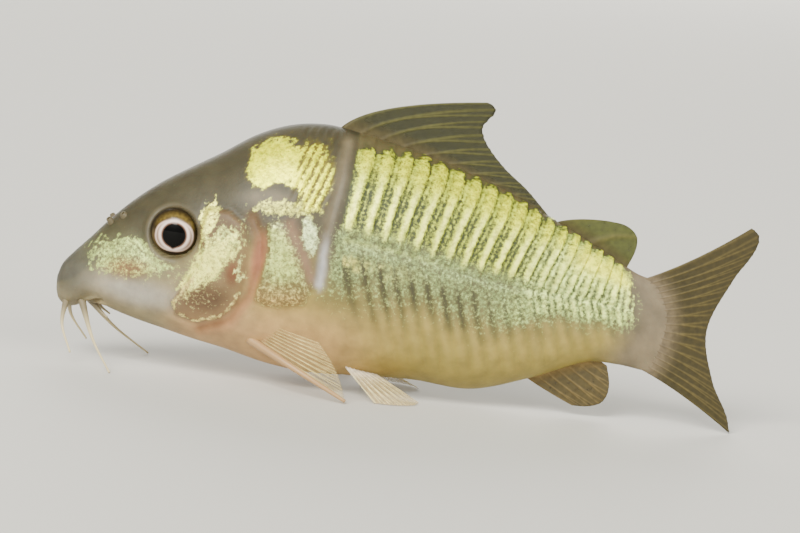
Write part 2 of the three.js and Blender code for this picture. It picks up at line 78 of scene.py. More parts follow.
# Each plate rises to its crest, at this share of its length, and drops to the next one. The rows
# lean with height, and the lean and shift are in plates. The belly below its share is naked.
PLATE_LIFT, PLATE_CREST = 0.22, 0.86
UPPER_LEAN, UPPER_SHIFT, LOWER_LEAN, LOWER_SHIFT = 0.5, 0.2, 1.3, 0.1
BELLY_SHARE = 0.76
# How square each section is above and below its widest point, and how that changes off the snout.
UPPER_POWER, UPPER_SLIMMER = 2.2, 0.35
LOWER_POWER, LOWER_FULLER = 2.1, 0.3
# The head's forms: how far each stands up or lies deep.
SOCKET_DEPTH, SOCKET_RIM = 1.3, 0.12
CHEEK_LIFT, SHOULDER_LIFT = 0.25, 0.3
GILL_COVER_LIFT, GILL_COVER_GROOVE, GILL_HOLLOW_DEPTH, GILL_SLIT_DEPTH = 0.3, 0.1, 0.22, 0.35
NAPE_LINE_DEPTH, NAPE_RIB_LIFT, NAPE_RIB_LEAN, NAPE_RIB_PITCH = 0.12, 0.07, 0.35, 7.5
LIP_X, LIP_HALF, LIP_SWEEP = -34.6, 2.5, 1.9
UPPER_LIP, LOWER_LIP, MOUTH_DEPTH = 0.3, 0.25, 0.4
EYE_X, EYE_Y, EYE_Z = -25.2, 4.98, 15.4
EYE_RADIUS = 2.6


def ease(value, low, high):
    """0 below low, 1 above high, and a smooth rise between."""
    t = np.clip((value - low) / (high - low), 0, 1)
    return t * t * (3 - 2 * t)


def bump(distance, width):
    """1 where the distance is 0, with a soft fall over the width."""
    return np.exp(-((distance / width) ** 2))


def smooth(knots_at, knots, at):
    """A smooth curve through knots, with each tangent taken from the neighbours on both sides."""
    last = len(knots_at) - 1
    before = np.maximum(np.arange(last + 1) - 1, 0)
    after = np.minimum(np.arange(last + 1) + 1, last)
    tangent = (knots[after] - knots[before]) / (knots_at[after] - knots_at[before])
    i = np.clip(np.searchsorted(knots_at, at), 1, last)
    span = knots_at[i] - knots_at[i - 1]
    t = np.clip((at - knots_at[i - 1]) / span, 0, 1)
    return (
        (2 * t**3 - 3 * t**2 + 1) * knots[i - 1]
        + (t**3 - 2 * t**2 + t) * span * tangent[i - 1]
        + (3 * t**2 - 2 * t**3) * knots[i]
        + (t**3 - t**2) * span * tangent[i]
    )


def smooth_body(s, share):
    """Points of the bare body, near side: s runs down it, share goes from the back to the belly."""
    top_x, top_z, low_x, low_z, half, widest, bow = (
        smooth(STATIONS[:, 0], STATIONS[:, column], s) for column in range(1, 8)
    )
    upper = UPPER_POWER - UPPER_SLIMMER * ease(s, SNOUT, 0)
    lower = LOWER_POWER + LOWER_FULLER * ease(s, SNOUT, -4)
    seam = np.arccos(((LATERAL_LINE - widest) / (1 - widest)) ** (upper / 2))
    below = (share - SEAM_SHARE) / (1 - SEAM_SHARE)
    angle = np.where(share < SEAM_SHARE, share / SEAM_SHARE * seam, seam + below * (math.pi - seam))
    power = np.where(angle < math.pi / 2, upper, lower)
    rise = np.sign(np.cos(angle)) * np.abs(np.cos(angle)) ** (2 / power)
    out = np.maximum(np.sin(angle), 0) ** (2 / power)
    height = np.where(rise > 0, widest + rise * (1 - widest), widest * (1 + rise))
    reach = np.where(height > LATERAL_LINE, 1 - LATERAL_LINE, LATERAL_LINE)
    wave = 0.5 + 0.5 * np.cos(math.pi * (height - LATERAL_LINE) / reach)
    x = low_x + (top_x - low_x) * height + bow * wave
    z = low_z + (top_z - low_z) * height
    return np.stack([x, -half * out, z], axis=1), height


def outward(s, share):
    """The directions that point straight out of the bare body."""
    step = 0.01
    along = smooth_body(s + step, share)[0] - smooth_body(s - step, share)[0]
    low = np.maximum(share - step, 0)
    high = np.minimum(share + step, 1)
    about = smooth_body(s, high)[0] - smooth_body(s, low)[0]
    about[share <= 0] = [0, -1, 0]
    about[share >= 1] = [0, 1, 0]
    normal = np.cross(about, along)
    return normal / np.maximum(np.linalg.norm(normal, axis=1), 1e-9)[:, None]


def to_line(x, z, path):
    """Distance, in the side view, from each point to a line through the path's points."""
    nearest = np.full(len(x), 1e3)
    for (ax, az), (bx, bz) in zip(path, path[1:]):
        dx, dz = bx - ax, bz - az
        t = np.clip(((x - ax) * dx + (z - az) * dz) / (dx * dx + dz * dz), 0, 1)
        nearest = np.minimum(nearest, np.hypot(x - ax - t * dx, z - az - t * dz))
    return nearest


def inside(x, z, outline):
    """How far inside an outline each point lies in the side view; negative outside it."""
    closed = [*outline, outline[0]]
    crossings = np.zeros(len(x), int)
    for (ax, az), (bx, bz) in zip(closed, closed[1:]):
        spans = (az > z) != (bz > z)
        where = ax + (z - az) / (bz - az + 1e-12) * (bx - ax)
        crossings += spans & (x < where)
    return np.where(crossings % 2 == 1, 1, -1) * to_line(x, z, closed)


def blob(x, z, centre, size, lean=0.0):
    """A soft spot in the side view: 1 at its centre and 0 well outside its half sizes."""
    dx, dz = x - centre[0], z - centre[1]
    along = dx * math.cos(lean) + dz * math.sin(lean)
    across = dz * math.cos(lean) - dx * math.sin(lean)
    return np.exp(-((along / size[0]) ** 2 + (across / size[1]) ** 2) ** 1.5)


# Outlines and lines in the side view, as x and z.
GILL_COVER = [
    (-22.0, 18.6), (-19.4, 18.6), (-17.6, 17.4), (-16.9, 15.0), (-16.8, 12.0), (-17.4, 9.0),
    (-19.2, 6.9), (-21.8, 6.1), (-24.2, 6.7), (-24.7, 8.2), (-23.2, 10.6), (-22.0, 13.2),
    (-22.4, 16.2),
]
SHOULDER = [
    (-15.4, 18.0), (-13.2, 18.4), (-10.7, 15.6), (-9.6, 12.0), (-10.5, 9.6), (-14.3, 9.0),
    (-15.8, 9.5), (-15.3, 12.4), (-14.9, 15.2),
]
GILL_SLIT = [(-17.0, 18.2), (-15.9, 16.2), (-15.7, 13.0), (-16.3, 9.8), (-18.3, 6.6), (-21.2, 5.4)]
NAPE_LINE = [(-7.9, 26.9), (-8.2, 22.6), (-8.7, 19.6), (-9.0, 16.3), (-9.0, 12.6)]
# The lower end of the nape line, where a bluish-white sheen is painted.
NAPE_SHEEN_LINE = [(-8.9, 17.6), (-9.0, 15.0), (-9.0, 12.0)]
SHOULDER_STRIPE = [(-12.9, 17.9), (-11.4, 15.4), (-9.9, 12.6)]

bpy.ops.mesh.primitive_grid_add(
    x_subdivisions=HEAD_RINGS + PLATES * RINGS_PER_PLATE + TAIL_ROOT_RINGS,
    y_subdivisions=AROUND,
    size=2,
)
skin = bpy.context.object
skin.name = "body_skin"

# The grid's columns become rings along the fish, closer together at the tip of the snout.
flat = np.empty(len(skin.data.vertices) * 3)
skin.data.vertices.foreach_get("co", flat)
flat = flat.reshape(-1, 3)
head_s = SNOUT * (1 - np.arange(HEAD_RINGS) / HEAD_RINGS) ** 1.15
flank_s = np.arange(PLATES * RINGS_PER_PLATE + TAIL_ROOT_RINGS + 1) / RINGS_PER_PLATE
ring_s = np.concatenate([head_s, flank_s])
ring = np.rint((flat[:, 0] + 1) / 2 * (len(ring_s) - 1)).astype(int)
s = ring_s[ring]
share = np.round(np.abs(flat[:, 1]), 6)
side = np.where(flat[:, 1] < 0, -1.0, 1.0)
bare, height = smooth_body(s, share)
x, z = bare[:, 0], bare[:, 2]


def ragged(points_mm, size, seed=0.0):
    """Smooth noise between about -1 and 1 that varies over lengths of the given size."""
    shift = Vector((seed, 0, 0))
    return np.array([noise.noise(Vector(point) / size + shift) for point in points_mm])


# Where each point lies on its plate, and the parts of the body that carry plates.
mirrored_side = bare * np.column_stack([np.ones(len(s)), -side, np.ones(len(s))])
drift = ragged(mirrored_side, 3.0)
fray = ragged(mirrored_side, 0.55, 7)
up_row = np.clip((height - LATERAL_LINE) / (1 - LATERAL_LINE), 0, 1)
down_row = np.clip((LATERAL_LINE - height) / LATERAL_LINE, 0, 1)
row_s = s + np.where(
    share < SEAM_SHARE,
    UPPER_LEAN - (UPPER_LEAN - UPPER_SHIFT) * up_row,
    LOWER_SHIFT - LOWER_LEAN * down_row,
)
along = row_s - np.floor(row_s + 1e-6)
on_flank = ease(s, -0.05, 0.05)
saw = np.where(along < PLATE_CREST, along / PLATE_CREST, (1 - along) / (1 - PLATE_CREST))
off_seam = 1 - bump(share - SEAM_SHARE, 0.012)
naked = 1 - ease(share, BELLY_SHARE - 0.06, BELLY_SHARE + 0.08)
ridge = 0.35 + 0.65 * ease(share, 0, 0.08)
lower_row = 1 - 0.55 * ease(share, SEAM_SHARE, SEAM_SHARE + 0.06)
tail_end = 1 - ease(s, 16, PLATES - 1)
plate_rise = PLATE_LIFT * saw * off_seam * naked * ridge * lower_row * tail_end
plates = on_flank * (plate_rise - SEAM_DEPTH * (1 - off_seam) * tail_end)

# The forms of the head, each a height above the bare body.
on_head = 1 - ease(s, -0.2, 0)
from_eye = np.hypot(x - EYE_X, z - EYE_Z)
socket = -SOCKET_DEPTH * (1 - ease(from_eye, EYE_RADIUS - 0.45, EYE_RADIUS + 0.05))
rim = SOCKET_RIM * bump(from_eye - EYE_RADIUS - 0.35, 0.4)
cheek = CHEEK_LIFT * blob(x, z, (-28.5, 10.5), (2.9, 2.3))
gill_depth = inside(x, z, GILL_COVER)
gill_groove = GILL_COVER_GROOVE * bump(gill_depth + 0.2, 0.25)
gill_cover = GILL_COVER_LIFT * ease(gill_depth, -0.15, 0.5) - gill_groove
gill_hollow = -GILL_HOLLOW_DEPTH * blob(x, z, (-21.2, 8.6), (2.6, 1.3), 0.2)
from_slit = to_line(x, z, GILL_SLIT)
slit = -GILL_SLIT_DEPTH * bump(from_slit, 0.38)
shoulder_depth = inside(x, z, SHOULDER)
shoulder = SHOULDER_LIFT * ease(shoulder_depth, -0.2, 0.45)
from_nape_line = to_line(x, z, NAPE_LINE)
nape_line = -NAPE_LINE_DEPTH * bump(from_nape_line, 0.3)
under = ease(share, 0.72, 0.8)
lip_at = x - LIP_X - LIP_SWEEP * np.minimum((bare[:, 1] / LIP_HALF) ** 2, 1.2)
lip_ends = 1 - ease(np.abs(bare[:, 1]), LIP_HALF - 0.2, LIP_HALF + 0.7)
lips = under * lip_ends * (
    UPPER_LIP * bump(lip_at + 0.75, 0.4)
    + LOWER_LIP * bump(lip_at - 0.8, 0.45)
    - MOUTH_DEPTH * bump(lip_at, 0.28)
)
nape_rib_at = (x - NAPE_RIB_LEAN * z) * NAPE_RIB_PITCH
nape_reach = ease(x, -14, -12) * (1 - ease(x, -9.2, -8.2)) * ease(z, 19, 21) * ease(share, 0.04, 0.1)
nape_ribs = NAPE_RIB_LIFT * np.sin(nape_rib_at) * nape_reach
head_forms = on_head * (
    socket + rim + cheek + gill_cover + gill_hollow + slit + shoulder + nape_line + lips + nape_ribs
)

points = bare + outward(s, share) * (plates + head_forms)[:, None]
points[(share <= 0) | (share >= 1), 1] = 0
points[:, 1] *= -side
for end in (0, len(ring_s) - 1):
    points[ring == end] = points[ring == end].mean(axis=0)
skin.data.vertices.foreach_set("co", (points * MM).ravel())


# The skin's colours, laid on in order: washes of pigment, and foil for the metallic scales.

STUDIO_PALES = 1.7
SCREEN_GAMMA = 2.4


def seen_as(red, green, blue):
    """The surface colour that looks like this tone, each part out of 255, under the studio light,
    which pales colours and so is met with a deeper one."""
    seen = np.array([red, green, blue]) / 255
    return ((seen + 0.055) / 1.055) ** (SCREEN_GAMMA * STUDIO_PALES)


pigment = np.tile(seen_as(180, 168, 110), (len(s), 1))
glint = np.tile(seen_as(214, 218, 160), (len(s), 1))
foil = np.zeros(len(s))


def wash(tone, strength):
    """One layer of pigment over the skin."""
    pigment[:] += (seen_as(*tone) - pigment) * np.clip(strength, 0, 1)[:, None]


def gild(tone, strength, cover=1.0):
    """A layer of silvery foil over the pigment: its tone, where it lies and how densely."""
    strength = np.clip(strength, 0, 1)
    glint[:] += (seen_as(*tone) - glint) * strength[:, None]
    foil[:] += (cover - foil) * strength


def flecked(spot, edge=0.5):
    """A soft spot broken up into ragged patches of foil."""
    return ease(spot + 0.45 * fray + 0.25 * drift, edge - 0.15, edge + 0.25) * ease(spot, 0.02, 0.2)


# Where the bands of the flank start and where they are full, as shares of its height.
BELLY_BAND, LOWER_BAND, REAR_BAND, CROWN_BAND = (0.15, 0.42), (0.21, 0.46), (0.36, 0.48), (0.8, 0.92)
UPPER_BAND = (LATERAL_LINE + 0.015, LATERAL_LINE + 0.1)
# The plates over which the bars double, the pattern turns silvery and the tail's bare skin starts.
BARS_DOUBLE, SILVERY, TAIL_BARE, TAIL_FOIL_ENDS = (10, 13.5), (9, 15), (17.0, 20.2), (18.2, 20.0)
# Where each bar or stripe lies on its plate, as a share of the plate's length, and its half width.
BAR, BAR_CORE, FAINT_BAR, DARK_LINE = (0.67, 0.22), (0.69, 0.12), (0.17, 0.07), (0.98, 0.24)
REAR_STRIPE, SECOND_REAR_STRIPE = (0.66, 0.17), (0.17, 0.11)
BAR_WIDER_AT_CROWN, FAINT_BAR_WIDER, BAR_TOP, BAR_TOP_RISE = 0.13, 0.04, 0.95, 0.04
# Soft spots on the head in the side view: centre, half sizes and lean.
SPOTS = {
    "lips": ((-35.8, 9.8), (3.0, 3.8), 0),
    "under cheek": ((-28.5, 8.6), (4.8, 1.6), -0.1),
    "temple": ((-15.6, 20.4), (2.6, 0.9), 0.1),
    "cheek": ((-29.3, 12.2), (5.0, 2.3), 0.02),
    "blush": ((-29.6, 11.0), (2.4, 1.1), 0.1),
    "behind eye": ((-21.7, 17.2), (1.1, 2.6), -0.2),
    "above gill band": ((-19.4, 15.6), (1.3, 1.6), 0.4),
    "gill band": ((-20.6, 13.2), (5.6, 2.2), 0.95),
    "gill hollow": ((-21.0, 8.9), (3.0, 1.6), 0.25),
    "gill red": ((-18.3, 12.2), (0.8, 1.3), 0),
    "gill rear": ((-17.6, 11.8), (1.0, 3.4), 0),
    "slit": ((-15.8, 14.0), (0.85, 2.7), -0.15),
    "shoulder": ((-13.2, 15.0), (3.2, 3.6), 0),
    "above shoulder": ((-13.2, 19.7), (4.6, 1.1), 0.08),
    "behind shoulder": ((-10.7, 17.2), (0.9, 2.2), 0.35),
    "nape front": ((-15.0, 24.3), (3.4, 2.7), 0),
    "nape rear": ((-10.8, 23.1), (2.2, 4.0), 0),
    "nape corner": ((-16.9, 22.6), (1.3, 1.3), 0),
    "nape glow": ((-13.6, 22.6), (1.5, 2.8), 0.9),
}
spot = {name: blob(x, z, *shape) for name, shape in SPOTS.items()}

# The buff belly, and the grey-green plates of the lower row with dark lines between them.
front = 1 - ease(x, -12, 4)
wash((206, 184, 138), 0.9 * front * (1 - ease(height, *BELLY_BAND)))
lower = ease(height + 0.06 * drift + 0.03 * fray, *LOWER_BAND) * ease(x, -12, -7)
wash((126, 132, 108), 0.85 * lower)
gild((182, 196, 148), lower, 0.5)
line_at, line_width = DARK_LINE
frayed_along = along + 0.12 * fray
dark_line = bump(frayed_along - line_at, line_width) + bump(frayed_along + 1 - line_at, line_width)
dark_line *= on_flank * (1 - 0.8 * ease(s, 7, 12)) * (1 - ease(height + 0.05 * drift, 0.46, 0.54))
wash((98, 94, 70), 0.75 * dark_line * ease(height + 0.07 * drift, 0.22, 0.4))
gild((198, 204, 152), 0.8 * dark_line * lower, 0.14)
between_lines = bump(along + 0.1 * fray - 0.5, 0.24) * bump(height - 0.28, 0.15) * ease(s, 0, 2)
wash((204, 190, 138), 0.35 * between_lines)
lower_glints = 0.7 * flecked(0.7 * bump(height - 0.5, 0.06), 0.55)
gild((230, 216, 128), lower_glints * front * on_flank, 0.9)

# The upper row: olive skin with a bright bar on each plate, yellowest at the top.
upper = ease(height + 0.02 * fray, *UPPER_BAND) * ease(x, -8.4, -7.4)
wash((102, 110, 70), upper)
gild((184, 192, 98), upper, 0.28)
bar_along = along + 0.08 * fray
crown = ease(height + 0.03 * fray, *CROWN_BAND)
bar = bump(bar_along - BAR[0], BAR[1] + BAR_WIDER_AT_CROWN * crown)
doubled = np.maximum(0.6 * crown, ease(s, *BARS_DOUBLE))
faint_bar = bump(bar_along - FAINT_BAR[0], FAINT_BAR[1] + FAINT_BAR_WIDER * doubled)
gild((208, 216, 108), faint_bar * upper, 0.55 + 0.3 * doubled)
round_top = 0.009 * np.minimum(((bar_along - 0.62) / 0.26) ** 2, 2)
bar_top = BAR_TOP + BAR_TOP_RISE * ease(x, -8, 2) - round_top
below_top = 1 - ease(height + 0.03 * fray, bar_top - 0.025, bar_top + 0.015)
gild((240, 248, 116), bar * upper * below_top, 0.94)
core = bump(bar_along - BAR_CORE[0], BAR_CORE[1]) * upper * (1 - crown) * (1 - ease(s, 10, 16))
gild((252, 255, 168), core, 1.08)
wash((116, 114, 44), 0.7 * crown * below_top * upper)
gild((230, 232, 58), 0.85 * bar * crown * below_top * upper * (1 - ease(s, 15, 18)), 0.68)

# Towards the tail both rows turn silvery green, with two thin stripes on each plate.
rear = ease(s + 0.8 * drift, *SILVERY) * ease(height + 0.08 * drift + 0.04 * fray, *REAR_BAND)
wash((114, 124, 88), 0.85 * rear)
gild((204, 218, 156), 0.8 * rear * (1 - bar * upper), 0.36)
first_stripe, second_stripe = (
    bump(along + 0.1 * fray - stripe_at, width)
    for stripe_at, width in (REAR_STRIPE, SECOND_REAR_STRIPE)
)
gild((240, 250, 176), 0.85 * rear * (first_stripe + 0.85 * second_stripe) * (1 - crown), 0.95)
back_edge = bump(height - 0.87, 0.09) * ease(s, 12.5, 15) * (1 - ease(s, 18.8, 19.4))
gild((242, 244, 112), back_edge * below_top, 0.9)
line_glow = bump(height - LATERAL_LINE - 0.004 * drift, 0.01) * (1 - ease(x, 0, 6)) * on_flank
gild((206, 214, 150), 0.6 * line_glow, 0.75)

# The bare grey-brown skin along the back and at the root of the tail fin.
back_strip = ease(x, -9.2, -8.4) * ease(height + 0.02 * fray, bar_top, bar_top + 0.02)
wash((134, 127, 98), back_strip)
gild((134, 127, 98), back_strip, 0)
tail_root = s + 0.4 * drift + 0.9 * np.minimum(((height - 0.6) / 0.4) ** 2, 1.5)
wash((158, 148, 130), 0.95 * ease(tail_root, *TAIL_BARE))
gild((200, 208, 160), ease(tail_root + 0.5 * fray, *TAIL_FOIL_ENDS), 0)

# The head's ground colours: grey-brown above, buff at the throat, grey at the lips, and painted shade
# along the top ridge.
wash((116, 111, 90), on_head * ease(height, 0.42, 0.62))
gild((184, 194, 132), on_head * ease(height, 0.6, 0.72), 0)
wash((180, 170, 142), on_head * (1 - ease(x, -20, -14)) * (1 - ease(height, 0.38, 0.6)))
throat = (1 - ease(x, -12, -1)) * (1 - ease(height, 0.1, 0.32)) * ease(x, -27, -22)
wash((210, 184, 148), 0.8 * throat)
wash((134, 132, 122), 0.9 * spot["lips"])
wash((200, 196, 188), 0.85 * spot["under cheek"])
# Painted shade: a dark strip along the top ridge of the head, against the light that falls on it from
# above.
wash((100, 96, 74), on_head * (1 - ease(share, 0.03, 0.1)) * ease(x, -24, -12))
wash((178, 168, 148), 0.5 * spot["temple"])

# Green-gold flecks and a reddish blush on the cheek, and flecks behind the eye.
wash((152, 152, 124), 0.9 * spot["cheek"])
gild((214, 226, 164), flecked(spot["cheek"], 0.35), 0.56)
wash((168, 138, 106), 0.8 * spot["blush"])
gild((222, 220, 156), spot["blush"], 0.36)
gild((246, 244, 154), flecked(spot["behind eye"], 0.35), 0.66)
gild((246, 248, 176), flecked(spot["above gill band"], 0.45), 0.66)

# The gill cover: a bright band across it, a dark hollow below, and red skin and flecks behind.
wash((158, 136, 104), on_head * 0.7 * ease(gill_depth, -0.2, 0.3))
gild((200, 212, 146), spot["gill band"], 0.5)
gild((250, 250, 168), flecked(spot["gill band"], 0.6), 0.74)
wash((134, 114, 94), 0.95 * spot["gill hollow"])
gild((222, 216, 168), spot["gill hollow"], 0.24)
wash((150, 106, 80), 0.8 * spot["gill red"])
gild((206, 200, 150), spot["gill red"], 0.1)
gild((236, 238, 180), flecked(spot["gill rear"], 0.75), 0.62)
gill_edge = bump(gill_depth - 0.35, 0.42) * on_head * (1 - ease(z, 10, 15))
gild((240, 226, 168), 0.9 * flecked(gill_edge, 0.75), 0.75)

# The pinkish gill slit, and the speckled shoulder plate with a bare stripe behind it.
slit_shade = bump(from_slit, 0.7) * on_head * (1 - 0.6 * ease(z, 15.5, 17.5))
wash((190, 154, 122), 0.75 * slit_shade)
gild((200, 190, 150), slit_shade, 0)
wash((184, 142, 118), 0.9 * spot["slit"])
on_shoulder = on_head * ease(shoulder_depth, -0.3, 0.4)
wash((140, 136, 100), 0.85 * on_shoulder)
gild((200, 204, 152), on_shoulder, 0.44)
gild((214, 222, 156), on_shoulder * flecked(spot["shoulder"], 0.6), 0.68)
wash((172, 148, 106), 0.6 * on_shoulder * (1 - ease(z, 9.5, 13)))
gild((226, 206, 150), 0.9 * on_shoulder * (1 - ease(z, 9.5, 12.5)), 0.4)
gild((214, 214, 130), flecked(spot["above shoulder"], 0.5), 0.62)
stripe = bump(to_line(x, z, SHOULDER_STRIPE) + 0.15 * fray, 0.75) * on_head
wash((168, 146, 126), 0.9 * stripe)
gild((206, 202, 160), stripe, 0.12)
gild((228, 238, 196), flecked(spot["behind shoulder"], 0.4), 0.7)

# The yellow patch on the nape, smooth in front and ribbed behind.
patch = spot["nape front"] + spot["nape rear"] + spot["nape corner"]
rib = 0.5 + 0.5 * np.sin(nape_rib_at + 1.5 * fray)
ribbed = np.where(x < -13, 1, 0.25 + 0.85 * rib)
on_patch = ease(patch + 0.35 * fray, 0.35, 0.75) * on_head * ease(share, 0.05, 0.11)
wash((150, 142, 56), on_patch)
gild((240, 242, 20), on_patch, 0.82 * ribbed)
gild((255, 255, 96), on_patch * flecked(spot["nape glow"]) * ribbed, 1.0)

# The grey line behind the head with a painted bluish-white sheen at its lower end, and the skin round
# the eye with painted shade where it dips into the socket.
nape_shade = bump(from_nape_line + 0.1 * fray, 0.62)
wash((152, 143, 122), 0.95 * nape_shade)
gild((190, 190, 160), nape_shade, 0)
# Painted sheen: a bluish-white smear that fades in at the lower end of the grey line behind the head.
nape_line_sheen = bump(to_line(x, z, NAPE_SHEEN_LINE) + 0.25 * fray, 0.42) * (1 - ease(z, 14.5, 18.5))
wash((198, 197, 196), 0.95 * nape_line_sheen)
eye_shade = 1 - ease(from_eye, 2.8, 3.3)
wash((138, 131, 108), 0.7 * eye_shade)
gild((200, 200, 150), eye_shade, 0)
# Painted shade: a dark ring where the skin dips into the socket round the eye.
wash((88, 76, 56), 0.6 * bump(from_eye - 2.5, 0.2))

for layer, tones in (("pigment", pigment), ("glint", glint)):
    painted = skin.data.color_attributes.new(layer, "FLOAT_COLOR", "POINT")
    painted.data.foreach_set("color", np.column_stack([tones, np.ones(len(s))]).ravel())
foils = skin.data.attributes.new("foil", "FLOAT", "POINT")
foils.data.foreach_set("value", foil)


def tidy_mesh(piece, merge_mm):
    """Closes the piece where its edges meet, turns its faces outwards and shades it smooth."""
    bpy.ops.object.select_all(action="DESELECT")
    bpy.context.view_layer.objects.active = piece
    piece.select_set(True)
    bpy.ops.object.mode_set(mode="EDIT")
    bpy.ops.mesh.select_all(action="SELECT")
    bpy.ops.mesh.remove_doubles(threshold=merge_mm * MM)
    bpy.ops.mesh.normals_make_consistent(inside=False)
    bpy.ops.object.mode_set(mode="OBJECT")
    bpy.ops.object.shade_smooth()


tidy_mesh(skin, 0.002)

FLAKE_SCALE, MOTTLE_SCALE, SHEEN_SCALE = 3000, 620, 1500
FLAKE_SPREAD, FLAKE_EDGE = 1.6, (0.3, 0.7)
FOIL_METAL, SKIN_ROUGHNESS, FOIL_ROUGHNESS = 0.3, 0.55, 0.36


def new_finish(name, roughness=0.5, specular=0.5):
    """A new material, with its nodes, its links and its main shader."""
    finish = bpy.data.materials.new(name)
    finish.use_nodes = True
    tree = finish.node_tree
    shader = tree.nodes["Principled BSDF"]
    shader.inputs["Roughness"].default_value = roughness
    shader.inputs["Specular IOR Level"].default_value = specular
    return finish, tree.nodes, tree.links, shader


def grain_of(nodes, links, scale, detail, roughness=0.5):
    """Noise that is fixed to the piece."""
    place = nodes.new("ShaderNodeTexCoord")
    grain = nodes.new("ShaderNodeTexNoise")
    grain.inputs["Scale"].default_value = scale
    grain.inputs["Detail"].default_value = detail
    grain.inputs["Roughness"].default_value = roughness
    links.new(place.outputs["Object"], grain.inputs["Vector"])
    return grain.outputs["Fac"]


def ranged(nodes, links, value, low, high, to_low, to_high):
    """The value, with its stretch from low to high laid over to_low to to_high."""
    node = nodes.new("ShaderNodeMapRange")
    node.inputs["From Min"].default_value = low
    node.inputs["From Max"].default_value = high
    node.inputs["To Min"].default_value = to_low
    node.inputs["To Max"].default_value = to_high
    links.new(value, node.inputs["Value"])
    return node.outputs["Result"]


def feed(links, source, socket):
    """Links a node's output to a socket, or sets the socket to a plain tone."""
    if isinstance(source, tuple):
        socket.default_value = (*seen_as(*source), 1)
    else:
        links.new(source, socket)


def blended(nodes, links, amount, tone_at_0, tone_at_1):
    """One tone shading into another."""
    node = nodes.new("ShaderNodeMix")
    node.data_type = "RGBA"
    links.new(amount, node.inputs["Factor"])
    feed(links, tone_at_0, node.inputs[6])
    feed(links, tone_at_1, node.inputs[7])
    return node.outputs[2]


def scaled(nodes, links, tone, amount):
    """A tone made lighter or darker."""
    node = nodes.new("ShaderNodeVectorMath")
    node.operation = "SCALE"
    links.new(tone, node.inputs[0])
    links.new(amount, node.inputs["Scale"])
    return node.outputs["Vector"]


def layer_of(nodes, name):
    """The outputs of a layer that was painted on the mesh."""
    node = nodes.new("ShaderNodeAttribute")
    node.attribute_name = name
    return node.outputs


skin_finish, nodes, links, shader = new_finish("armoured skin", specular=0.35)
shader.inputs["Coat Weight"].default_value = 0.06
shader.inputs["Coat Roughness"].default_value = 0.3
shader.inputs["Subsurface Weight"].default_value = 0.1
shader.inputs["Subsurface Scale"].default_value = 1.2 * MM
flakes = grain_of(nodes, links, FLAKE_SCALE, 3, 0.7)
flake_reach = nodes.new("ShaderNodeMath")
flake_reach.operation = "MULTIPLY_ADD"
flake_reach.inputs[1].default_value = FLAKE_SPREAD
links.new(flakes, flake_reach.inputs[0])
links.new(layer_of(nodes, "foil")["Fac"], flake_reach.inputs[2])
flake_starts, flake_full = (FLAKE_SPREAD / 2 + edge for edge in FLAKE_EDGE)
on_flake = ranged(nodes, links, flake_reach.outputs["Value"], flake_starts, flake_full, 0, 1)
pigment_layer = nodes.new("ShaderNodeVertexColor")
pigment_layer.layer_name = "pigment"
glint_layer = nodes.new("ShaderNodeVertexColor")
glint_layer.layer_name = "glint"
gilded = blended(nodes, links, on_flake, pigment_layer.outputs["Color"], glint_layer.outputs["Color"])
mottle = grain_of(nodes, links, MOTTLE_SCALE, 5)
skin_grain = ranged(nodes, links, mottle, 0.3, 0.7, 0.8, 1.15)
sheen = grain_of(nodes, links, SHEEN_SCALE, 4, 0.7)
sheen_grain = ranged(nodes, links, sheen, 0.36, 0.64, 0.58, 1.4)
grain = nodes.new("ShaderNodeMix")
links.new(on_flake, grain.inputs["Factor"])
links.new(skin_grain, grain.inputs["A"])
links.new(sheen_grain, grain.inputs["B"])
links.new(scaled(nodes, links, gilded, grain.outputs["Result"]), shader.inputs["Base Color"])
links.new(ranged(nodes, links, on_flake, 0, 1, 0, FOIL_METAL), shader.inputs["Metallic"])
roughness = ranged(nodes, links, on_flake, 0, 1, SKIN_ROUGHNESS, FOIL_ROUGHNESS)
links.new(roughness, shader.inputs["Roughness"])
relief = nodes.new("ShaderNodeBump")
relief.inputs["Strength"].default_value = 0.35
relief.inputs["Distance"].default_value = 0.12 * MM
links.new(flakes, relief.inputs["Height"])
links.new(relief.outputs["Normal"], shader.inputs["Normal"])
skin.data.materials.append(skin_finish)
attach(skin, "root")
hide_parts("head", "gill_cover_left", "gill_cover_right", "torso", "tail")

# Eyes
# Each eye is a flattened ball that sits in its socket, turned a little forward. It has a black
# pupil in a pinkish white ring, a golden brown iris above, and a dark wet rim.

EYE_DEPTH = 1.65
EYE_TURN = 0.22
PUPIL_X, PUPIL_Z, PUPIL_RADIUS, PUPIL_NOTCH = 0.1, -0.15, 1.25, 0.16
RING_RADIUS, RING_WIDER_SIDEWAYS, RING_WIDER_BELOW = 1.5, 0.55, 0.25

eye_finish, nodes, links, shader = new_finish("wet eye", 0.4, 0.05)
shader.inputs["Coat Weight"].default_value = 0.2
shader.inputs["Coat Roughness"].default_value = 0.03
iris = nodes.new("ShaderNodeVertexColor")
iris.layer_name = "iris"
links.new(iris.outputs["Color"], shader.inputs["Base Color"])

